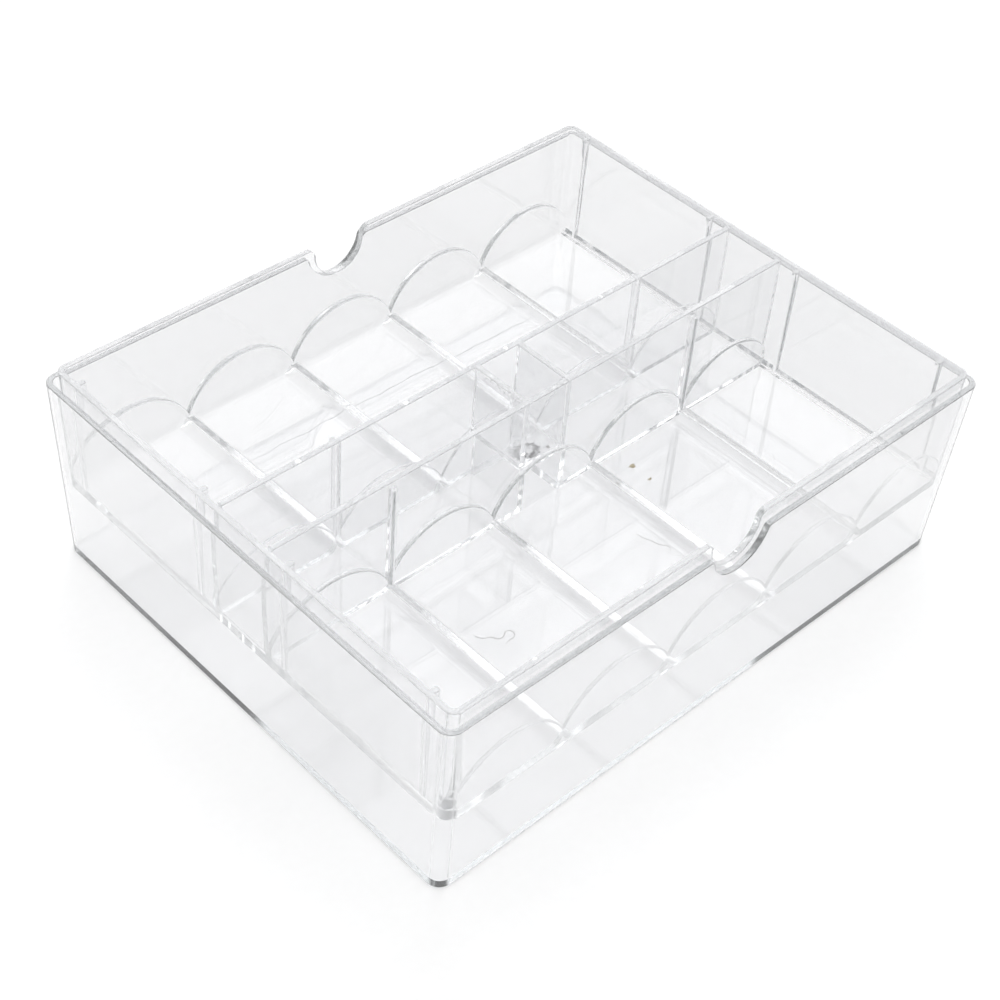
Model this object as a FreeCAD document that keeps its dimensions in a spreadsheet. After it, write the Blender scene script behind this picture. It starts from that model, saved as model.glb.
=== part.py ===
import FreeCAD, Part
import math
import os
import Sketcher

# Clear poker chip case, in two mouldings: an open outer box and a lift-out tray with two rows of
# five chip columns, a channel between the rows and a small cup in the middle of that channel.
# Millimetres. The origin is the centre of the underside, X runs along the long side and Z is up.

SIZES = {
    # outer box
    "rim_length": 218.0,          # outside, at the rim
    "rim_width": 176.7,           # outside, at the rim
    "box_height": 67.2,
    "wall": 2.0,                  # every wall and floor of both mouldings
    "draft_slope": 0.031,         # how far a wall leans out for each mm it rises
    "corner_radius": 4.4,         # outside, in plan
    # tray, as it sits in the box
    "tray_underside": 27.5,
    "tray_rim": 71.0,
    "end_clearance": 1.4,         # between the short walls of tray and box
    "side_clearance": 0.5,        # between the long walls of tray and box
    # finger notches
    "box_notch_radius": 11.0,
    "box_notch_bottom": 57.0,
    "box_notch_round": 2.0,       # where the notch runs out into the rim
    "tray_notch_radius": 9.5,
    "tray_notch_bottom": 58.5,
    "tray_notch_round": 3.0,
    # chip columns
    "column_pitch": 41.5,
    "ridge_height": 3.0,
    "ridge_crown": 2.4,           # radius of its top
    "ridge_foot": 2.3,            # radius of the hollow curve up from the floor
    "cusp_height": 4.1,           # where two pads meet, above the floor
    "arch_rise": 13.4,            # of each end pad, above the cusps
    "pad_thickness": 1.2,         # of each end pad, proud of its wall
    "arch_round": 0.8,            # along the front edge of each arch
    # channel and cup
    "channel_width": 20.0,
    "cup_length": 15.2,
    "cup_floor": 46.0,            # height of the cup's inner floor
    # ribs
    "rib_width": 2.0,
    "rib_reach": 2.4,             # of the divider ribs, proud of the divider
    "divider_rib_at": 61.5,       # of the divider ribs, from the middle of the tray
    "rib_drop": 1.6,              # of the divider ribs' tops, below the rim
    "end_rib_tip": 101.4,         # of the short walls' ribs, from the middle of the tray
    "end_rib_inner": 18.7,        # of the ribs beside the dividers, from the middle
    "end_rib_outer": 76.0,        # of the ribs beside the long walls, from the middle
    # gate mark under the cup
    "gate_width": 5.0,
    "gate_depth": 0.7,
    # edges
    "rim_round": 0.3,
    "foot_round": 0.4,
}

BURIED = 0.6          # how far one feature is sunk into the next, so that they join
PAST = 1.0            # how far a cut runs past the face it opens
COLUMNS = 5
GAPS = [column - COLUMNS / 2 for column in range(1, COLUMNS)]     # between columns, in column pitches
ORIGIN = (-1, 1)      # a sketch's own origin, as (geometry, point) in a constraint
START, END, CENTRE = 1, 2, 3
TOLERANCE = 1e-3      # when an edge is picked by where it lies


def make_sheet(doc):
    sheet = doc.addObject("Spreadsheet::Sheet", "Dimensions")
    for row, (alias, size) in enumerate(SIZES.items(), start=1):
        sheet.set("A%d" % row, alias)
        sheet.set("B%d" % row, str(size))
        sheet.setAlias("B%d" % row, alias)
    doc.recompute()
    return sheet


def linked(formula):
    """The formula as an expression, with each size's name read from the sheet."""
    words = formula.replace("(", " ( ").replace(")", " ) ").split()
    return " ".join("Dimensions." + word if word in SIZES else word for word in words)


# Heights and half sizes that several features share, as formulas of the driving sizes.
TRAY_FLOOR = "( tray_underside + wall )"
CUSP = "( tray_underside + wall + cusp_height )"
DIVIDER_OUTER = "( channel_width / 2 + wall )"
TRAY_LENGTH = "( rim_length - 2 * wall - 2 * end_clearance )"      # outside, at the box's rim height
TRAY_WIDTH = "( rim_width - 2 * wall - 2 * side_clearance )"
WALL_FACE = "( %s / 2 - draft_slope * ( box_height - %s ) - wall )" % (TRAY_WIDTH, TRAY_FLOOR)


def drafted(size_at_rim, height):
    """A full outside size, given at the box's rim, as it is at another height."""
    return "%s - 2 * draft_slope * ( box_height - %s )" % (size_at_rim, height)


# ---------------------------------------------------------------- sketches

def new_sketch(body, name, role, offset=None):
    """A sketch on one of the body's origin planes, moved along that plane's normal."""
    sketch = body.newObject("Sketcher::SketchObject", name)
    plane = next(item for item in body.Origin.OriginFeatures if item.Role == role)
    sketch.AttachmentSupport = (plane, [""])
    sketch.MapMode = "FlatFace"
    if offset:
        sketch.setExpression("AttachmentOffset.Base.z", linked(offset))
    return sketch


def as_drawn(sketch, kind, references):
    """The size that a constraint would have on the outline as it was first drawn."""
    if kind == "Radius":
        return sketch.Geometry[references[0]].Radius
    gap = sketch.getPoint(*references[2:]) - sketch.getPoint(*references[:2])
    return gap.x if kind == "DistanceX" else gap.y


def bind(sketch, kind, references, formula):
    """A driving constraint whose value follows the formula."""
    size = as_drawn(sketch, kind, references)
    index = sketch.addConstraint(Sketcher.Constraint(kind, *references, size))
    sketch.setExpression("Constraints[%d]" % index, linked(formula))


def place(sketch, geometry, point, x=None, y=None):
    """Holds a point of the sketch at formulas for its two coordinates."""
    if x is not None:
        bind(sketch, "DistanceX", (*ORIGIN, geometry, point), x)
    if y is not None:
        bind(sketch, "DistanceY", (*ORIGIN, geometry, point), y)


def line(x0, y0, x1, y1):
    return Part.LineSegment(FreeCAD.Vector(x0, y0, 0), FreeCAD.Vector(x1, y1, 0))


def arc(x, y, radius, start, end):
    """An anticlockwise arc, with its angles in degrees."""
    circle = Part.Circle(FreeCAD.Vector(x, y, 0), FreeCAD.Vector(0, 0, 1), radius)
    return Part.ArcOfCircle(circle, math.radians(start), math.radians(end))


def join(sketch, kind, first, second):
    """Joins the end of one piece of an outline to the start of the next."""
    sketch.addConstraint(Sketcher.Constraint(kind, first, END, second, START))


def rounded_rectangle(sketch, length, width, radius):
    """A rectangle with round corners, centred on the sketch's origin."""
    x, y, r = 100.0, 80.0, 4.0
    sides = [sketch.addGeometry(item) for item in (
        line(r - x, -y, x - r, -y),
        arc(x - r, r - y, r, 270, 360),
        line(x, r - y, x, y - r),
        arc(x - r, y - r, r, 0, 90),
        line(x - r, y, r - x, y),
        arc(r - x, y - r, r, 90, 180),
        line(-x, y - r, -x, r - y),
        arc(r - x, r - y, r, 180, 270),
    )]
    for first, second in zip(sides, sides[1:] + sides[:1]):
        join(sketch, "Tangent", first, second)
    for side, kind in ((0, "Horizontal"), (2, "Vertical"), (4, "Horizontal"), (6, "Vertical")):
        sketch.addConstraint(Sketcher.Constraint(kind, sides[side]))
    for corner in (3, 5, 7):
        sketch.addConstraint(Sketcher.Constraint("Equal", sides[1], sides[corner]))
    bind(sketch, "Radius", (sides[1],), radius)
    bind(sketch, "DistanceX", (sides[7], CENTRE, sides[1], CENTRE), "%s - 2 * %s" % (length, radius))
    bind(sketch, "DistanceY", (sides[1], CENTRE, sides[3], CENTRE), "%s - 2 * %s" % (width, radius))
    sketch.addConstraint(Sketcher.Constraint("Symmetric", sides[7], CENTRE, sides[3], CENTRE, *ORIGIN))


def polygon(sketch, corners):
    """A closed outline through corners given as (x formula, y formula, rough x, rough y)."""
    rough = [corner[2:] for corner in corners]
    sides = [sketch.addGeometry(line(*a, *b)) for a, b in zip(rough, rough[1:] + rough[:1])]
    for first, second in zip(sides, sides[1:] + sides[:1]):
        join(sketch, "Coincident", first, second)
    for side, (x, y, _, _) in zip(sides, corners):
        place(sketch, side, START, x, y)


def rectangle(sketch, x0, x1, y0, y1, rough):
    """A rectangle between formulas for its sides; rough holds its starting x0, x1, y0 and y1."""
    left, right, low, high = rough
    polygon(sketch, [
        (x0, y0, left, low),
        (x1, y0, right, low),
        (x1, y1, right, high),
        (x0, y1, left, high),
    ])


def slot(sketch, first, second, rough):
    """A round-ended bar as wide as a rib, between two centres given as (x formula, y formula)."""
    (x0, y0), (x1, y1) = rough
    turn = math.degrees(math.atan2(y1 - y0, x1 - x0))
    side_x = math.sin(math.radians(turn)) * SIZES["rib_width"] / 2
    side_y = -math.cos(math.radians(turn)) * SIZES["rib_width"] / 2
    half = SIZES["rib_width"] / 2
    sides = [sketch.addGeometry(item) for item in (
        line(x0 + side_x, y0 + side_y, x1 + side_x, y1 + side_y),
        arc(x1, y1, half, turn - 90, turn + 90),
        line(x1 - side_x, y1 - side_y, x0 - side_x, y0 - side_y),
        arc(x0, y0, half, turn + 90, turn + 270),
    )]
    for before, after in zip(sides, sides[1:] + sides[:1]):
        join(sketch, "Tangent", before, after)
    bind(sketch, "Radius", (sides[1],), "rib_width / 2")
    place(sketch, sides[3], CENTRE, *first)
    place(sketch, sides[1], CENTRE, *second)


def swell(sketch, gap, base, crown, foot, sunk):
    """A ridge in section, or the hollow under one: up from its base in a foot curve, over a round crown."""
    level, level_formula = base
    crown_radius, crown_formula = crown
    foot_radius, foot_formula = foot
    centre = "%s * column_pitch" % gap
    x = gap * SIZES["column_pitch"]
    height = SIZES["ridge_height"]
    reach = math.sqrt((crown_radius + foot_radius) ** 2 - (crown_radius + foot_radius - height) ** 2)
    lean = math.degrees(math.asin(reach / (crown_radius + foot_radius)))
    crown_y = level + height - crown_radius
    outline = [sketch.addGeometry(item) for item in (
        line(x - reach, level - sunk, x + reach, level - sunk),
        line(x + reach, level - sunk, x + reach, level),
        arc(x + reach, level + foot_radius, foot_radius, 270 - lean, 270),
        arc(x, crown_y, crown_radius, 90 - lean, 90 + lean),
        arc(x - reach, level + foot_radius, foot_radius, 270, 270 + lean),
        line(x - reach, level, x - reach, level - sunk),
    )]
    bottom, right, right_foot, top, left_foot, left = outline
    join(sketch, "Coincident", bottom, right)
    sketch.addConstraint(Sketcher.Constraint("Coincident", right, END, right_foot, END))
    sketch.addConstraint(Sketcher.Constraint("Tangent", right_foot, START, top, START))
    sketch.addConstraint(Sketcher.Constraint("Tangent", top, END, left_foot, END))
    sketch.addConstraint(Sketcher.Constraint("Coincident", left_foot, START, left, START))
    join(sketch, "Coincident", left, bottom)
    for upright in (right, left):
        sketch.addConstraint(Sketcher.Constraint("Vertical", upright))
    sketch.addConstraint(Sketcher.Constraint("Horizontal", bottom))
    place(sketch, top, CENTRE, centre, "%s + ridge_height - %s" % (level_formula, crown_formula))
    bind(sketch, "Radius", (top,), crown_formula)
    for curve, tip in ((right_foot, END), (left_foot, START)):
        sketch.addConstraint(Sketcher.Constraint("Vertical", curve, CENTRE, curve, tip))
        bind(sketch, "Radius", (curve,), foot_formula)
        place(sketch, curve, tip, y=level_formula)
    place(sketch, bottom, START, y="%s - %s" % (level_formula, sunk))


def half_ridge(sketch, side):
    """The flank of a ridge that dies into a short wall, on the side +1 or -1."""
    floor = SIZES["tray_underside"] + SIZES["wall"]
    wall_x = side * COLUMNS / 2 * SIZES["column_pitch"]
    wall_at = "%s * column_pitch" % (side * COLUMNS / 2)
    low = "%s - %s" % (TRAY_FLOOR, BURIED)
    top = "%s + ridge_height" % TRAY_FLOOR
    flank = "%s - %d * ridge_height" % (wall_at, side)
    back = "%s - %d * wall / 4" % (wall_at, side)
    polygon(sketch, [
        (flank, low, wall_x - 3 * side, floor - BURIED),
        (flank, TRAY_FLOOR, wall_x - 3 * side, floor),
        (back, top, wall_x - side / 2, floor + 3),
        (back, low, wall_x - side / 2, floor - BURIED),
    ])


def arch_radius():
    """Of an arc that spans one column and rises by the arch's rise."""
    pitch = SIZES["column_pitch"]
    rise = SIZES["arch_rise"]
    return (pitch ** 2 / 4 + rise ** 2) / (2 * rise)


def arches(sketch):
    """The end pads of one row in elevation: an arch for each column, meeting in cusps over the ridges."""
    pitch = SIZES["column_pitch"]
    rise = SIZES["arch_rise"]
    radius = arch_radius()
    floor = SIZES["tray_underside"] + SIZES["wall"]
    springing = floor + SIZES["cusp_height"]
    swing = math.degrees(math.asin(pitch / 2 / radius))
    end_x = COLUMNS * pitch / 2
    outline = [sketch.addGeometry(line(-end_x, floor, end_x, floor))]
    outline.append(sketch.addGeometry(line(end_x, floor, end_x, springing)))
    for column in reversed(range(COLUMNS)):
        x = (column - (COLUMNS - 1) / 2) * pitch
        outline.append(sketch.addGeometry(arc(x, springing + rise - radius, radius, 90 - swing, 90 + swing)))
    outline.append(sketch.addGeometry(line(-end_x, springing, -end_x, floor)))
    for first, second in zip(outline, outline[1:] + outline[:1]):
        join(sketch, "Coincident", first, second)
    first_arch = outline[2]
    sketch.addConstraint(Sketcher.Constraint("Vertical", outline[1]))
    place(sketch, outline[0], START, "-%s * column_pitch" % (COLUMNS / 2), "%s - %s" % (TRAY_FLOOR, BURIED))
    place(sketch, outline[0], END, "%s * column_pitch" % (COLUMNS / 2), "%s - %s" % (TRAY_FLOOR, BURIED))
    bind(sketch, "Radius", (first_arch,), "( column_pitch ^ 2 / 4 + arch_rise ^ 2 ) / ( 2 * arch_rise )")
    for step, arch in enumerate(outline[2:-1]):
        place(sketch, arch, START, "%s * column_pitch" % (COLUMNS / 2 - step) if step else None, CUSP)
        if arch != first_arch:
            sketch.addConstraint(Sketcher.Constraint("Equal", first_arch, arch))
    place(sketch, outline[-1], START, "-%s * column_pitch" % (COLUMNS / 2), CUSP)


def notch(sketch, piece, rim, rim_formula):
    """A finger notch: a round bottom that runs out into the rim through two small rounds."""
    radius = SIZES[piece + "_notch_radius"]
    centre_y = SIZES[piece + "_notch_bottom"] + radius
    r = SIZES[piece + "_notch_round"]
    level = rim - r - centre_y
    reach = math.sqrt((radius + r) ** 2 - level ** 2)
    lean = math.degrees(math.atan2(level, reach))
    top = rim + PAST
    outline = [sketch.addGeometry(item) for item in (
        line(reach, top, -reach, top),
        line(-reach, top, -reach, rim),
        arc(-reach, rim - r, r, -lean, 90),
        arc(0, centre_y, radius, 180 - lean, 360 + lean),
        arc(reach, rim - r, r, 90, 180 + lean),
        line(reach, rim, reach, top),
    )]
    roof, left, left_round, bowl, right_round, right = outline
    join(sketch, "Coincident", roof, left)
    sketch.addConstraint(Sketcher.Constraint("Coincident", left, END, left_round, END))
    sketch.addConstraint(Sketcher.Constraint("Tangent", left_round, START, bowl, START))
    sketch.addConstraint(Sketcher.Constraint("Tangent", bowl, END, right_round, END))
    sketch.addConstraint(Sketcher.Constraint("Coincident", right_round, START, right, START))
    join(sketch, "Coincident", right, roof)
    for upright in (left, right):
        sketch.addConstraint(Sketcher.Constraint("Vertical", upright))
    sketch.addConstraint(Sketcher.Constraint("Horizontal", roof))
    sketch.addConstraint(Sketcher.Constraint("PointOnObject", bowl, CENTRE, -2))
    sketch.addConstraint(Sketcher.Constraint("Vertical", left_round, CENTRE, left_round, END))
    sketch.addConstraint(Sketcher.Constraint("Vertical", right_round, CENTRE, right_round, START))
    place(sketch, bowl, CENTRE, y="%s_notch_bottom + %s_notch_radius" % (piece, piece))
    bind(sketch, "Radius", (bowl,), piece + "_notch_radius")
    for small, tip in ((left_round, END), (right_round, START)):
        bind(sketch, "Radius", (small,), piece + "_notch_round")
        place(sketch, small, tip, y=rim_formula)
    place(sketch, roof, START, y="%s + %s" % (rim_formula, PAST))


# ---------------------------------------------------------------- features

def feature(body, kind, name, profile, **settings):
    item = body.newObject("PartDesign::" + kind, name)
    item.Profile = profile
    for key, setting in settings.items():
        if isinstance(setting, str) and key in ("Length", "Length2"):
            item.setExpression(key, linked(setting))
        else:
            setattr(item, key, setting)
    return item


def drafted_loft(body, kind, name, low, high, length, width, radius):
    """A drafted block between two heights; length and width are its outside at the box's rim."""
    sections = []
    for end, height in (("Low", low), ("High", high)):
        section = new_sketch(body, name + end, "XY_Plane", height)
        rounded_rectangle(section, "( %s )" % drafted(length, height), "( %s )" % drafted(width, height), radius)
        sections.append(section)
    return feature(body, kind, name, sections[0], Sections=[sections[1]], Ruled=True)


def cut_notches(body, piece, rim_name):
    """Cuts the notch through both long walls at once."""
    sketch = new_sketch(body, "NotchOutline", "XZ_Plane")
    notch(sketch, piece, SIZES[rim_name], rim_name)
    return feature(body, "Pocket", "Notches", sketch, Length="rim_width + 10", SideType="Symmetric")


def round_edges(body, name, size, wanted):
    """Rounds every edge of the body that the test picks."""
    base = body.Tip
    edges = ["Edge%d" % (i + 1) for i, edge in enumerate(base.Shape.Edges) if wanted(edge)]
    item = body.newObject("PartDesign::Fillet", name)
    item.Base = (base, edges)
    item.setExpression("Radius", "Dimensions." + size)
    return item


def lies_at(edge, height):
    box = edge.BoundBox
    return abs(box.ZMin - height) < TOLERANCE and abs(box.ZMax - height) < TOLERANCE


def on_notch(edge, rim):
    """An edge of a notch: near the middle of the long sides, on a wall face, under the rim."""
    box = edge.BoundBox
    reach = SIZES["box_notch_radius"] + SIZES["tray_notch_round"] + 1
    along = box.XLength > 0.5 and max(-box.XMin, box.XMax) < reach
    outside = min(abs(box.YMin), abs(box.YMax)) > SIZES["end_rib_outer"]
    return along and outside and box.ZMin > SIZES["box_notch_bottom"] - 1 and box.ZMax <= rim + TOLERANCE


def build_box(doc):
    body = doc.addObject("PartDesign::Body", "CaseBase")
    body.Label = "case_base"
    drafted_loft(body, "AdditiveLoft", "Outside", "0 * wall", "box_height",
                 "rim_length", "rim_width", "corner_radius")
    drafted_loft(body, "SubtractiveLoft", "Inside", "wall", "( box_height + %s )" % PAST,
                 "( rim_length - 2 * wall )", "( rim_width - 2 * wall )", "( corner_radius - wall )")
    cut_notches(body, "box", "box_height")
    doc.recompute()
    rim = SIZES["box_height"]
    round_edges(body, "RimRound", "rim_round", lambda edge: lies_at(edge, rim) or on_notch(edge, rim))
    doc.recompute()
    round_edges(body, "FootRound", "foot_round", lambda edge: lies_at(edge, 0))
    doc.recompute()
    return body


def build_tray(doc):
    body = doc.addObject("PartDesign::Body", "ChipTray")
    body.Label = "chip_tray"
    drafted_loft(body, "AdditiveLoft", "Outside", "tray_underside", "tray_rim",
                 TRAY_LENGTH, TRAY_WIDTH, "( corner_radius - wall / 2 )")
    drafted_loft(body, "SubtractiveLoft", "Inside", TRAY_FLOOR, "( tray_rim + %s )" % PAST,
                 "( %s - 2 * wall )" % TRAY_LENGTH, "( %s - 2 * wall )" % TRAY_WIDTH,
                 "( corner_radius - 1.5 * wall )")
    cut_notches(body, "tray", "tray_rim")
    add_dividers(body)
    add_end_pads(body)
    add_ridges(body)
    add_cup(body)
    add_ribs(body)
    doc.recompute()
    rim = SIZES["tray_rim"]
    round_edges(body, "RimRound", "rim_round", lambda edge: lies_at(edge, rim) or on_notch(edge, rim))
    doc.recompute()
    round_edges(body, "FootRound", "foot_round", is_tray_foot)
    doc.recompute()
    add_grooves(body)
    doc.recompute()
    return body


def is_tray_foot(edge):
    """An outside edge of the tray's underside, not the opening under the cup."""
    far = max(abs(edge.BoundBox.XMin), abs(edge.BoundBox.YMin))
    return lies_at(edge, SIZES["tray_underside"]) and far > SIZES["column_pitch"]


def add_ridges(body):
    """Ridges across both rows, with the channel between the rows cut back to the floor."""
    sketch = new_sketch(body, "RidgeSection", "XZ_Plane")
    floor = SIZES["tray_underside"] + SIZES["wall"]
    for gap in GAPS:
        swell(sketch, gap, (floor, TRAY_FLOOR), (SIZES["ridge_crown"], "ridge_crown"),
              (SIZES["ridge_foot"], "ridge_foot"), BURIED)
    for side in (-1, 1):
        half_ridge(sketch, side)
    row_end = "2 * ( %s / 2 - draft_slope * ( box_height - tray_underside ) - wall / 2 )" % TRAY_WIDTH
    feature(body, "Pad", "Ridges", sketch, Length=row_end, SideType="Symmetric")

    channel = new_sketch(body, "ChannelPlan", "XY_Plane", TRAY_FLOOR)
    half_x = "( rim_length / 2 - 3 * wall - end_clearance )"
    half_y = "channel_width / 2"
    rectangle(channel, "-1 * " + half_x, half_x, "-1 * " + half_y, half_y, (-101, 101, -10, 10))
    feature(body, "Pocket", "Channel", channel, Length="ridge_height + %s" % PAST, Reversed=True)


def add_grooves(body):
    """The hollows that keep the ridges' walls even, from the dividers to the long walls."""
    sketch = new_sketch(body, "GrooveSection", "XZ_Plane", "-1 * " + DIVIDER_OUTER)
    wall = SIZES["wall"]
    for gap in GAPS:
        swell(sketch, gap, (SIZES["tray_underside"], "tray_underside"),
              (SIZES["ridge_crown"] - wall, "( ridge_crown - wall )"),
              (SIZES["ridge_foot"] + wall, "( ridge_foot + wall )"), PAST)
    length = "%s - %s" % (WALL_FACE, DIVIDER_OUTER)
    mirrored(body, "OtherRowGrooves", [feature(body, "Pocket", "Grooves", sketch, Length=length)])


def add_dividers(body):
    """The two long walls between the rows and the channel."""
    walls = new_sketch(body, "DividerPlan", "XY_Plane", "%s - %s" % (TRAY_FLOOR, BURIED))
    half_x = "( %s / 2 - 1.25 * wall )" % TRAY_LENGTH
    inner = "channel_width / 2"
    rectangle(walls, "-1 * " + half_x, half_x, inner, DIVIDER_OUTER, (-103, 103, 10, 12))
    rectangle(walls, "-1 * " + half_x, half_x, "-1 * " + DIVIDER_OUTER, "-1 * " + inner, (-103, 103, -12, -10))
    feature(body, "Pad", "Dividers", walls, Length="tray_rim - %s + %s" % (TRAY_FLOOR, BURIED))


def add_cup(body):
    """The cup between the dividers, with its raised floor, open underneath."""
    ends = new_sketch(body, "CupEndPlan", "XY_Plane", "%s - %s" % (TRAY_FLOOR, BURIED))
    near = "cup_length / 2"
    far = "( cup_length / 2 + wall )"
    half_y = "( channel_width / 2 + wall / 4 )"
    rectangle(ends, near, far, "-1 * " + half_y, half_y, (7, 9, -10, 10))
    rectangle(ends, "-1 * " + far, "-1 * " + near, "-1 * " + half_y, half_y, (-9, -7, -10, 10))
    feature(body, "Pad", "CupEnds", ends, Length="tray_rim - %s + %s" % (TRAY_FLOOR, BURIED))

    floor = new_sketch(body, "CupFloorPlan", "XY_Plane", "cup_floor - wall")
    half_x = "( cup_length / 2 + wall / 4 )"
    rectangle(floor, "-1 * " + half_x, half_x, "-1 * " + half_y, half_y, (-8, 8, -10, 10))
    feature(body, "Pad", "CupFloor", floor, Length="wall")

    under = new_sketch(body, "CupUndersidePlan", "XY_Plane", "tray_underside - %s" % PAST)
    half_y = "channel_width / 2"
    rectangle(under, "-1 * " + near, near, "-1 * " + half_y, half_y, (-7, 7, -9, 9))
    feature(body, "Pocket", "CupUnderside", under, Length="wall + %s + %s" % (BURIED, PAST), Reversed=True)

    gate = new_sketch(body, "GatePlan", "XY_Plane", "cup_floor - wall - gate_depth")
    circle = gate.addGeometry(Part.Circle(FreeCAD.Vector(0, 0, 0), FreeCAD.Vector(0, 0, 1), 2))
    gate.addConstraint(Sketcher.Constraint("Coincident", circle, CENTRE, *ORIGIN))
    bind(gate, "Radius", (circle,), "gate_width / 2")
    feature(body, "Pad", "Gate", gate, Length="gate_depth + %s" % BURIED)


def mirrored(body, name, originals):
    """The same features on the other side of the XZ plane."""
    mirror = body.newObject("PartDesign::Mirrored", name)
    plane = next(item for item in body.Origin.OriginFeatures if item.Role == "XZ_Plane")
    mirror.Originals = originals
    mirror.MirrorPlane = (plane, [""])
    body.Tip = mirror


def add_end_pads(body):
    """The arched pads at both ends of every column, on the long walls and on the dividers."""
    pads = []
    for name, face in (("WallPads", WALL_FACE), ("DividerPads", DIVIDER_OUTER)):
        outward = name == "DividerPads"
        far = "%s + pad_thickness" % face if outward else "%s + %s" % (face, BURIED)
        sketch = new_sketch(body, name + "Outline", "XZ_Plane", "-1 * ( %s )" % far)
        arches(sketch)
        pads.append(feature(body, "Pad", name, sketch, Length="pad_thickness + %s" % BURIED))
    mirrored(body, "OtherRowPads", pads)
    body.Document.recompute()
    round_edges(body, "ArchRound", "arch_round", is_arch_edge)


def is_arch_edge(edge):
    """An arc along the front face of an end pad, not where a pad meets its divider."""
    curve = edge.Curve
    if not isinstance(curve, Part.Circle) or abs(curve.Radius - arch_radius()) > TOLERANCE:
        return False
    return abs(abs(curve.Center.y) - SIZES["channel_width"] / 2 - SIZES["wall"]) > TOLERANCE


def add_ribs(body):
    """Round-ended ribs: on the dividers above the outer ridges, and on the short walls."""
    foot = "%s - %s" % (TRAY_FLOOR, BURIED)
    on_dividers = new_sketch(body, "DividerRibPlan", "XY_Plane", foot)
    root = "( channel_width / 2 + wall * 0.9 )"
    tip = "( %s + rib_reach - rib_width / 2 )" % DIVIDER_OUTER
    for x_side in (-1, 1):
        for y_side in (-1, 1):
            x = "%d * divider_rib_at" % x_side
            rough_x = x_side * SIZES["divider_rib_at"]
            slot(on_dividers, (x, "%d * %s" % (y_side, root)), (x, "%d * %s" % (y_side, tip)),
                 ((rough_x, y_side * 11.8), (rough_x, y_side * 13.4)))
    feature(body, "Pad", "DividerRibs", on_dividers,
            Length="tray_rim - rib_drop - %s + %s" % (TRAY_FLOOR, BURIED))

    on_ends = new_sketch(body, "EndRibPlan", "XY_Plane", foot)
    root = "( end_rib_tip + 1.8 )"
    tip = "( end_rib_tip + rib_width / 2 )"
    for x_side in (-1, 1):
        for y_side in (-1, 1):
            for position in ("end_rib_inner", "end_rib_outer"):
                y = "%d * %s" % (y_side, position)
                rough_y = y_side * SIZES[position]
                slot(on_ends, ("%d * %s" % (x_side, root), y), ("%d * %s" % (x_side, tip), y),
                     ((x_side * 103.2, rough_y), (x_side * 102.4, rough_y)))
    feature(body, "Pad", "EndRibs", on_ends, Length="tray_rim - %s + %s" % (TRAY_FLOOR, BURIED))


# ---------------------------------------------------------------- build, check and write

def main():
    doc = FreeCAD.newDocument("PokerChipCase")
    make_sheet(doc)
    bodies = [build_box(doc), build_tray(doc)]
    doc.recompute()
    for item in doc.Objects:
        if "Invalid" in item.State or "Error" in item.State:
            raise SystemExit("%s is %s" % (item.Name, item.State))
    os.makedirs("parts", exist_ok=True)
    for body in bodies:
        body.Placement = FreeCAD.Placement()
        shape = body.Shape
        if shape.isNull() or not shape.isValid() or len(shape.Solids) != 1:
            raise SystemExit("%s has a bad shape" % body.Label)
        shape.exportStep("parts/%s.step" % body.Label)
        size = shape.optimalBoundingBox()
        print("%s: %.0f mm3" % (body.Label, shape.Volume))
        print("    %.2f x %.2f x %.2f mm" % (size.XLength, size.YLength, size.ZLength))


main()
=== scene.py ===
import math
import random

import bmesh
import bpy
from mathutils import Matrix, Vector, noise


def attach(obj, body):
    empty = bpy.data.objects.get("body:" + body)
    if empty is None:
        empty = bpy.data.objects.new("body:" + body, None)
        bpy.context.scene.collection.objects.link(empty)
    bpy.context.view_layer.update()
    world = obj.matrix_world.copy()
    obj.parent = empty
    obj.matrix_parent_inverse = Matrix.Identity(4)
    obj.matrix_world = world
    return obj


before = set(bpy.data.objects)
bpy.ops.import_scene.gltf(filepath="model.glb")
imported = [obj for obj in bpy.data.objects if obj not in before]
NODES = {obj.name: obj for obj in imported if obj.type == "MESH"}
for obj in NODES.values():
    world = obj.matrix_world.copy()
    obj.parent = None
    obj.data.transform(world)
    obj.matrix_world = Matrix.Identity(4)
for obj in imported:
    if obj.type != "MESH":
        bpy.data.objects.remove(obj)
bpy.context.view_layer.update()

# Metres, in the CAD frame: X along the long side, Y along the short side, Z up.
MM = 0.001

# Camera
CAMERA_AT = Vector((-0.3372, -0.3124, 0.4493))
CAMERA_LOOK = Vector((0.5317, 0.4995, -0.6839))
CAMERA_UP = Vector((0.4345, 0.5322, 0.7266))
LENS = 72.5
SENSOR = 36.0

# Light: a soft dome, and a large soft panel that the level surfaces mirror towards the camera
DOME_HORIZON = 0.90
DOME_ZENITH = 1.40
DOME_FULL_AT = 0.9           # sine of the elevation above which the dome is at its strongest
PANEL_STRENGTH = 1.7
PANEL_INNER = 0.962          # cosine of the angle from the panel's middle at which it begins to fade
PANEL_OUTER = 0.90           # cosine of the angle at which it has faded out

# Light guided along a wall is turned back many times before it leaves.
LIGHT_BOUNCES = 96
DIFFUSE_BOUNCES = 8

# Floor. Every noise scale, here and below, is in features per metre.
FLOOR_HALF = 3.0
FLOOR_GAP = 0.05 * MM
FLOOR_TOOTH_SCALE = 300.0
FLOOR_TOOTH_RANGE = (0.3, 0.7)
FLOOR_WHITES = (0.96, 0.975)
FLOOR_ROUGHNESS = 0.9

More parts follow.
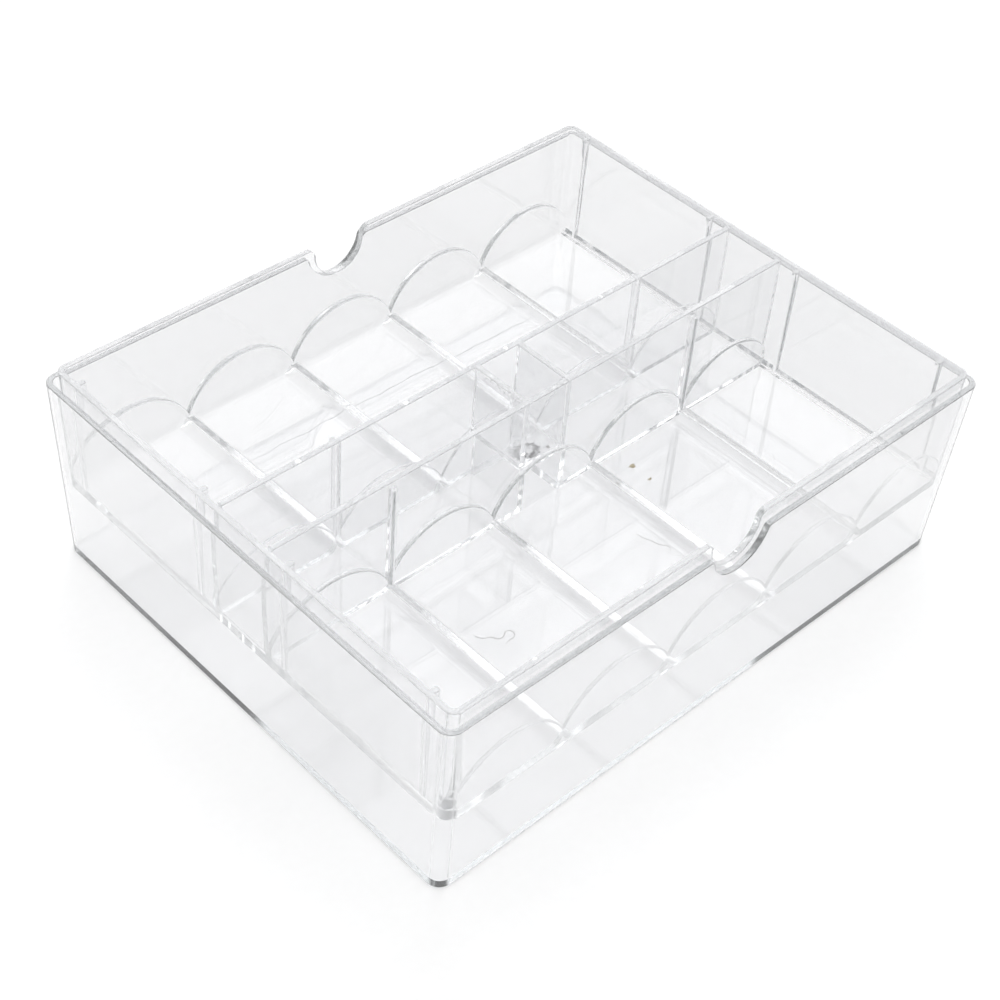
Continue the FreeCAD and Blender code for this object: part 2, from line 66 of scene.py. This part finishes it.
# Clear plastic
PLASTIC_IOR = 1.49
PLASTIC_VEIL = (0.940, 0.941, 0.945, 1.0)      # how much light each wall lets through
PLASTIC_CLARITY = 0.91       # the rest is a white haze of fine scratches on the outside
PLASTIC_TINT = (0.475, 0.50, 0.51, 1.0)
PLASTIC_DENSITY = 5.5        # per metre, so that a long way through the plastic is grey
WAVE_SCALE = 46.0
WAVE_HEIGHT = 0.03 * MM
POLISH_ROUGHNESS = 0.03
SCUFF_SCALE = 420.0
SCUFF_RANGE = (0.56, 0.80)   # noise at which a scuff begins and is at its worst
SCUFF_ROUGHNESS = 0.08
PATCH_SCALE = 16.0
PATCH_RANGE = (0.45, 0.65)   # noise at which a scuffed patch begins and is at its worst
PATCH_LEAST = 0.1            # share of the scuffs left between the patches

# Heights in the tray
TRAY_FLOOR = 0.0295
CUP_FLOOR = 0.0460

# Looks of the marks: a dark colour, a light colour and a roughness
# The first look is for a grey thread that paints a shadow line on the tray floor.
PAINTED_SHADOW_GREY = ((0.50, 0.51, 0.53), (0.72, 0.73, 0.74), 0.35)
HAIR_GREY = ((0.30, 0.29, 0.29), (0.55, 0.54, 0.53), 0.6)
DIRT_BROWN = ((0.26, 0.22, 0.15), (0.50, 0.45, 0.34), 0.7)
MARK_SCALE = 900.0
MARK_RANGE = (0.35, 0.65)    # noise between a mark's dark and light colours
MARK_SPECULAR = 0.2

# Threads: a grey line that paints a shadow on the tray floor, and the hairs
THREAD_SIDES = 6
THREAD_TIP = 0.15            # share of the thickness left at a thread's ends
THREAD_SWELL = 0.4           # the lower, the sooner a thread reaches its full thickness
PAINTED_SHADOW_Y = 0.0562         # where the painted shadow line runs, along the back row
PAINTED_SHADOW_ENDS = (-0.0600, 0.0610)
PAINTED_SHADOW_DRIFT = -0.0030    # from one end to the other
PAINTED_SHADOW_RADIUS = 0.11 * MM
PAINTED_SHADOW_STEPS = 70
PAINTED_SHADOW_WANDER = 0.35 * MM
PAINTED_SHADOW_MEMORY = 0.85      # share of the wander that is kept from one step to the next
PAINTED_SHADOW_SEED = 4
HAIR_RADIUS = 0.09 * MM
HAIR_LEFT_AT = (-0.0551, -0.0417)
HAIR_LEFT_HEADING = -85
HAIR_LEFT_TURNS = (30, 40, -60, 70, 50, -90, -80, -60, 20, 30)
HAIR_LEFT_STEP = 0.0021
HAIR_RIGHT_AT = (0.0108, -0.0427)
HAIR_RIGHT_HEADING = -70
HAIR_RIGHT_TURNS = (-20, 35, -30, 20, 25, -70, -60, 30)
HAIR_RIGHT_STEP = 0.0019
HAIR_RIGHT_SHARE = 0.8       # of the left hair's thickness
CURL_PARTS = 4               # short straight parts in each step of a hair

# Specks: their places and half sizes
SPECK_LARGE_AT = (0.0319, -0.0207, TRAY_FLOOR)
SPECK_LARGE_SIZE = (1.45 * MM, 0.70 * MM, 0.16 * MM)
SPECK_SMALL_AT = (0.0319, -0.0284, TRAY_FLOOR)
SPECK_SMALL_SIZE = (0.60 * MM, 0.45 * MM, 0.10 * MM)
SPECK_CUP_AT = (0.0036, -0.0088, CUP_FLOOR)
SPECK_CUP_SIZE = (0.75 * MM, 0.45 * MM, 0.30 * MM)
# Lumps along X and along Y: their height, their rate, and how far a speck's own draw shifts them
LUMPS = ((0.25, 3.1, 4.0), (0.20, 4.3, 1.0))

# Gate scar: its place on the cup's floor and its half sizes
GATE_SCAR_AT = (-0.0024, -0.0062)
GATE_SCAR_SIZE = (3.3 * MM, 2.6 * MM, 0.9 * MM)
GATE_SCAR_GAP = 0.05 * MM    # keeps its underside off the cup's floor
GATE_SCAR_DEPTH = 0.5        # of its ripples, as a share of its size
GATE_SCAR_COARSE = 3.0       # noise scales of its large and small ripples, over a ball of radius 1
GATE_SCAR_FINE = 9.0
GATE_SCAR_FINE_SHARE = 0.7

# Bubbles
BUBBLE_COUNT = 34
BUBBLE_RANGE = ((-0.0092, -0.0080), (-0.0080, 0.0060), (0.0688, 0.0704))      # in the cup's left wall
BUBBLE_RADII = (0.16 * MM, 0.42 * MM)
BUBBLE_SEED = 11
BUBBLE_SKIN_SCALE = 2500.0
BUBBLE_SKIN_RANGE = (0.4, 0.7)
BUBBLE_SKIN_ROUGHNESS = 0.08


# ---------------------------------------------------------------- node helpers

class Tree:
    """A short way to add and link shader nodes."""

    def __init__(self, owner):
        owner.use_nodes = True
        self.tree = owner.node_tree
        self.tree.nodes.clear()

    def add(self, kind, **settings):
        node = self.tree.nodes.new("ShaderNode" + kind)
        for key, setting in settings.items():
            setattr(node, key, setting)
        return node

    def link(self, source, target):
        self.tree.links.new(source, target)

    def surface(self):
        """A principled shader on the material's surface, and the output that it goes to."""
        shader = self.add("BsdfPrincipled")
        output = self.add("OutputMaterial")
        self.link(shader.outputs["BSDF"], output.inputs["Surface"])
        return shader, output

    def noise(self, where, scale, detail=2.0, roughness=0.5, distortion=0.0):
        node = self.add("TexNoise")
        self.link(where, node.inputs["Vector"])
        node.inputs["Scale"].default_value = scale
        node.inputs["Detail"].default_value = detail
        node.inputs["Roughness"].default_value = roughness
        node.inputs["Distortion"].default_value = distortion
        return node.outputs["Fac"]

    def maths(self, operation, first, second):
        node = self.add("Math", operation=operation)
        for socket, value in zip(node.inputs, (first, second)):
            if isinstance(value, (int, float)):
                socket.default_value = value
            else:
                self.link(value, socket)
        return node.outputs[0]

    def mapped(self, value, low, high, to_low, to_high):
        node = self.add("MapRange")
        self.link(value, node.inputs["Value"])
        node.inputs["From Min"].default_value = low
        node.inputs["From Max"].default_value = high
        node.inputs["To Min"].default_value = to_low
        node.inputs["To Max"].default_value = to_high
        return node.outputs["Result"]


# ---------------------------------------------------------------- materials

def clear_plastic(name):
    """Clear polished moulding: slow waves left by the flow, patches of fine scuffs, and a grey depth."""
    material = bpy.data.materials.new(name)
    tree = Tree(material)
    shader, output = tree.surface()
    where = tree.add("TexCoord").outputs["Object"]

    shader.inputs["Base Color"].default_value = PLASTIC_VEIL
    from_inside = tree.add("NewGeometry").outputs["Backfacing"]
    tree.link(tree.mapped(from_inside, 0.0, 1.0, PLASTIC_CLARITY, 1.0), shader.inputs["Transmission Weight"])
    shader.inputs["IOR"].default_value = PLASTIC_IOR

    scuffs = tree.noise(where, SCUFF_SCALE, detail=6.0, roughness=0.62, distortion=1.4)
    patches = tree.noise(where, PATCH_SCALE)
    scuffed = tree.maths("MULTIPLY", tree.mapped(scuffs, *SCUFF_RANGE, 0.0, 1.0),
                         tree.mapped(patches, *PATCH_RANGE, PATCH_LEAST, 1.0))
    roughness = tree.maths("ADD", tree.maths("MULTIPLY", scuffed, SCUFF_ROUGHNESS), POLISH_ROUGHNESS)
    tree.link(roughness, shader.inputs["Roughness"])

    waves = tree.noise(where, WAVE_SCALE, detail=1.0)
    bump = tree.add("Bump")
    bump.inputs["Distance"].default_value = WAVE_HEIGHT
    bump.inputs["Strength"].default_value = 1.0
    tree.link(waves, bump.inputs["Height"])
    tree.link(bump.outputs["Normal"], shader.inputs["Normal"])

    depth = tree.add("VolumeAbsorption")
    depth.inputs["Color"].default_value = PLASTIC_TINT
    depth.inputs["Density"].default_value = PLASTIC_DENSITY
    tree.link(depth.outputs["Volume"], output.inputs["Volume"])
    return material


def air_bubble():
    """The wall of an air bubble, met from inside the plastic."""
    material = bpy.data.materials.new("air_bubble")
    tree = Tree(material)
    shader, _ = tree.surface()
    where = tree.add("TexCoord").outputs["Object"]
    shader.inputs["Base Color"].default_value = (1.0, 1.0, 1.0, 1.0)
    shader.inputs["Transmission Weight"].default_value = 1.0
    shader.inputs["IOR"].default_value = 1.0 / PLASTIC_IOR
    skin = tree.noise(where, BUBBLE_SKIN_SCALE)
    roughness = tree.mapped(skin, *BUBBLE_SKIN_RANGE, 0.0, BUBBLE_SKIN_ROUGHNESS)
    tree.link(roughness, shader.inputs["Roughness"])
    return material


def mark(name, dark, light, roughness):
    """A mark in the plastic, mottled between two colours."""
    material = bpy.data.materials.new(name)
    tree = Tree(material)
    shader, _ = tree.surface()
    where = tree.add("TexCoord").outputs["Object"]
    mottle = tree.mapped(tree.noise(where, MARK_SCALE, detail=3.0), *MARK_RANGE, 0.0, 1.0)
    blend = tree.add("Mix", data_type="RGBA")
    tree.link(mottle, blend.inputs["Factor"])
    blend.inputs["A"].default_value = (*dark, 1.0)
    blend.inputs["B"].default_value = (*light, 1.0)
    tree.link(blend.outputs["Result"], shader.inputs["Base Color"])
    shader.inputs["Roughness"].default_value = roughness
    shader.inputs["Specular IOR Level"].default_value = MARK_SPECULAR
    return material


def floor_paper():
    """Matt white paper with a faint tooth."""
    material = bpy.data.materials.new("floor_paper")
    tree = Tree(material)
    shader, _ = tree.surface()
    where = tree.add("TexCoord").outputs["Object"]
    tooth = tree.mapped(tree.noise(where, FLOOR_TOOTH_SCALE, detail=4.0), *FLOOR_TOOTH_RANGE, *FLOOR_WHITES)
    tree.link(tooth, shader.inputs["Base Color"])
    shader.inputs["Roughness"].default_value = FLOOR_ROUGHNESS
    shader.inputs["Specular IOR Level"].default_value = 0.0
    return material


def dress(node, material):
    """Put one material all over a CAD node."""
    node.data.materials.clear()
    node.data.materials.append(material)
    for slot in node.material_slots:
        slot.material = material


# ---------------------------------------------------------------- marks in the tray

def show(name, form, material):
    """A mesh object made from a bmesh, smooth, in one material."""
    mesh = bpy.data.meshes.new(name)
    for face in form.faces:
        face.smooth = True
    form.to_mesh(mesh)
    form.free()
    mesh.materials.append(material)
    item = bpy.data.objects.new(name, mesh)
    bpy.context.scene.collection.objects.link(item)
    return item


def thread(name, points, radius, material):
    """A thin round thread through the points, thinner towards its ends."""
    form = bmesh.new()
    rings = []
    for step, point in enumerate(points):
        before = points[max(step - 1, 0)]
        after = points[min(step + 1, len(points) - 1)]
        along = (after - before).normalized()
        across = along.cross(Vector((0, 0, 1))).normalized()
        over = across.cross(along)
        share = step / (len(points) - 1)
        size = radius * (THREAD_TIP + (1.0 - THREAD_TIP) * math.sin(math.pi * share) ** THREAD_SWELL)
        ring = []
        for k in range(THREAD_SIDES):
            angle = math.tau * k / THREAD_SIDES
            ring.append(form.verts.new(point + size * (across * math.cos(angle) + over * math.sin(angle))))
        rings.append(ring)
    for first, second in zip(rings, rings[1:]):
        for k in range(THREAD_SIDES):
            form.faces.new((first[k], first[k - 1], second[k - 1], second[k]))
    form.faces.new(rings[0])
    form.faces.new(reversed(rings[-1]))
    return show(name, form, material)


def curl(start, heading, turns, step):
    """A hair's line over the tray floor: it bends by each turn, in degrees, after each step."""
    points = []
    place = Vector((*start, TRAY_FLOOR + HAIR_RADIUS))
    angle = math.radians(heading)
    for turn in turns:
        for _ in range(CURL_PARTS):
            points.append(place.copy())
            place += Vector((math.cos(angle), math.sin(angle), 0)) * (step / CURL_PARTS)
            angle += math.radians(turn) / CURL_PARTS
    return points


def painted_shadow_line():
    """The wandering grey line of painted shadow along the back row of the tray floor."""
    draw = random.Random(PAINTED_SHADOW_SEED)
    points = []
    wander = 0.0
    for step in range(PAINTED_SHADOW_STEPS + 1):
        share = step / PAINTED_SHADOW_STEPS
        wander = PAINTED_SHADOW_MEMORY * wander + draw.uniform(-PAINTED_SHADOW_WANDER, PAINTED_SHADOW_WANDER)
        x = PAINTED_SHADOW_ENDS[0] + share * (PAINTED_SHADOW_ENDS[1] - PAINTED_SHADOW_ENDS[0])
        points.append(Vector((x, PAINTED_SHADOW_Y + share * PAINTED_SHADOW_DRIFT + wander, TRAY_FLOOR)))
    return points


def speck(name, place, size, material):
    """A lump of trapped dirt, as (x, y, z) half sizes round its place."""
    form = bmesh.new()
    bmesh.ops.create_icosphere(form, subdivisions=3, radius=1.0)
    draw = random.Random(name)
    lean = [draw.uniform(-0.5, 0.5) for _ in range(2)]
    for vertex in form.verts:
        swell = 1.0
        for part, shift, (height, rate, reach) in zip(vertex.co, lean, LUMPS):
            swell += height * math.sin(rate * part + reach * shift)
        vertex.co = Vector([place[k] + vertex.co[k] * size[k] * swell for k in range(3)])
    return show(name, form, material)


def gate_scar(material):
    """The torn lump of plastic left on the cup's floor where the tray was cut from its runner."""
    form = bmesh.new()
    bmesh.ops.create_icosphere(form, subdivisions=5, radius=1.0)
    for vertex in form.verts:
        coarse = noise.noise(vertex.co * GATE_SCAR_COARSE)
        fine = noise.noise(vertex.co * GATE_SCAR_FINE)
        spread = vertex.co * (1.0 + GATE_SCAR_DEPTH * (coarse + GATE_SCAR_FINE_SHARE * fine))
        vertex.co = Vector([spread[k] * GATE_SCAR_SIZE[k] for k in range(3)])
        vertex.co += Vector((*GATE_SCAR_AT, CUP_FLOOR))
        vertex.co.z = max(vertex.co.z, CUP_FLOOR + GATE_SCAR_GAP)
    return show("gate_scar", form, material)


def bubbles(material):
    """Small bubbles trapped along the top of the cup's left wall."""
    draw = random.Random(BUBBLE_SEED)
    form = bmesh.new()
    for _ in range(BUBBLE_COUNT):
        radius = draw.uniform(*BUBBLE_RADII)
        place = Vector([draw.uniform(*limits) for limits in BUBBLE_RANGE])
        bmesh.ops.create_icosphere(form, subdivisions=2, radius=radius, matrix=Matrix.Translation(place))
    return show("cup_bubbles", form, material)


def add_marks(plastic):
    """What the moulding and its use left in the tray: hairs, specks, a gate scar and bubbles; and a grey
    line of painted shadow.
    """
    grey = mark("painted_shadow_grey", *PAINTED_SHADOW_GREY)
    hair = mark("hair_grey", *HAIR_GREY)
    brown = mark("dirt_brown", *DIRT_BROWN)
    left = curl(HAIR_LEFT_AT, HAIR_LEFT_HEADING, HAIR_LEFT_TURNS, HAIR_LEFT_STEP)
    right = curl(HAIR_RIGHT_AT, HAIR_RIGHT_HEADING, HAIR_RIGHT_TURNS, HAIR_RIGHT_STEP)
    pieces = [
        # A grey thread that paints a shadow line across the back row.
        thread("painted_shadow_line", painted_shadow_line(), PAINTED_SHADOW_RADIUS, grey),
        thread("hair_left", left, HAIR_RADIUS, hair),
        thread("hair_right", right, HAIR_RADIUS * HAIR_RIGHT_SHARE, hair),
        speck("speck_large", SPECK_LARGE_AT, SPECK_LARGE_SIZE, brown),
        speck("speck_small", SPECK_SMALL_AT, SPECK_SMALL_SIZE, brown),
        speck("speck_cup", SPECK_CUP_AT, SPECK_CUP_SIZE, hair),
        gate_scar(plastic),
        bubbles(air_bubble()),
    ]
    for piece in pieces:
        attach(piece, "tray")


# ---------------------------------------------------------------- studio

def make_camera():
    """A camera that looks down at the front left corner."""
    camera = bpy.data.objects.new("camera", bpy.data.cameras.new("camera"))
    bpy.context.scene.collection.objects.link(camera)
    camera.data.lens = LENS
    camera.data.sensor_width = SENSOR
    camera.data.clip_start = 0.01
    look = CAMERA_LOOK.normalized()
    side = look.cross(CAMERA_UP).normalized()
    up = side.cross(look)
    camera.matrix_world = Matrix.Translation(CAMERA_AT) @ Matrix((side, up, -look)).transposed().to_4x4()
    bpy.context.scene.camera = camera


def make_floor():
    """White paper, just under the case."""
    mesh = bpy.data.meshes.new("floor")
    form = bmesh.new()
    bmesh.ops.create_grid(form, x_segments=4, y_segments=4, size=FLOOR_HALF)
    form.to_mesh(mesh)
    form.free()
    floor = bpy.data.objects.new("floor", mesh)
    bpy.context.scene.collection.objects.link(floor)
    floor.location.z = -FLOOR_GAP
    mesh.materials.append(floor_paper())


def make_light():
    """A bright soft dome, strongest overhead, and one large soft panel behind the case."""
    world = bpy.data.worlds.new("studio")
    bpy.context.scene.world = world
    tree = Tree(world)
    output = tree.add("OutputWorld")
    sky = tree.add("Background")
    tree.link(sky.outputs["Background"], output.inputs["Surface"])
    direction = tree.add("TexCoord").outputs["Generated"]
    parts = tree.add("SeparateXYZ")
    tree.link(direction, parts.inputs["Vector"])
    dome = tree.mapped(parts.outputs["Z"], 0.0, DOME_FULL_AT, DOME_HORIZON, DOME_ZENITH)

    facing = tree.add("VectorMath", operation="DOT_PRODUCT")
    tree.link(direction, facing.inputs[0])
    look = CAMERA_LOOK.normalized()
    facing.inputs[1].default_value = (look.x, look.y, -look.z)
    panel = tree.mapped(facing.outputs["Value"], PANEL_OUTER, PANEL_INNER, 0.0, PANEL_STRENGTH)
    tree.link(tree.maths("ADD", dome, panel), sky.inputs["Strength"])


def set_picture():
    """Plain colours, and light paths long enough for clear walls."""
    scene = bpy.context.scene
    scene.view_settings.view_transform = "Standard"
    scene.cycles.max_bounces = LIGHT_BOUNCES
    scene.cycles.transmission_bounces = LIGHT_BOUNCES
    scene.cycles.glossy_bounces = LIGHT_BOUNCES
    scene.cycles.diffuse_bounces = DIFFUSE_BOUNCES
    scene.cycles.blur_glossy = 0.0


make_camera()
make_floor()
make_light()
set_picture()
dress(NODES["case_base"], clear_plastic("box_clear"))
tray_clear = clear_plastic("tray_clear")
dress(NODES["chip_tray"], tray_clear)
add_marks(tray_clear)
